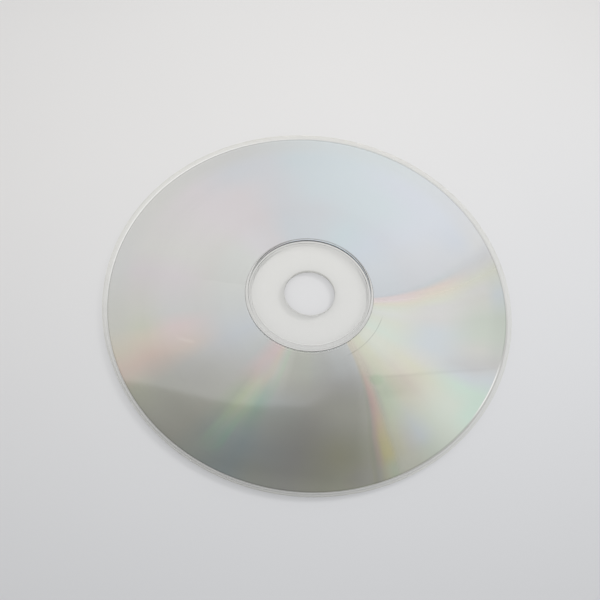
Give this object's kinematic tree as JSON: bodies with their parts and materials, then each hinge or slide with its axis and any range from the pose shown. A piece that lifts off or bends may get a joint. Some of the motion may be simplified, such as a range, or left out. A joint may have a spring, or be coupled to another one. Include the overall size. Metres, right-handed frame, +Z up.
{
  "type": "compact disc",
  "caption": "Round optical disc of clear moulded plastic with a silver reflective layer, a centre hole, a clear hub, and a stacking ring and a low ring on its data side.",
  "frame": {"origin": "centre of the hole, on the plane that the disc lies on", "axes": "+Z up along the hole's axis, from the label side to the data side"},
  "size_m": [0.12, 0.12, 0.0017],
  "materials": {
    "clear_polycarbonate": "clear, polished as moulded",
    "silver_layer": "silver mirror with faint rainbow streaks, sealed by clear lacquer"
  },
  "bodies": {
    "root": {"clear_disc": "clear_polycarbonate", "reflective_layer": "silver_layer"}
  },
  "joints": []
}
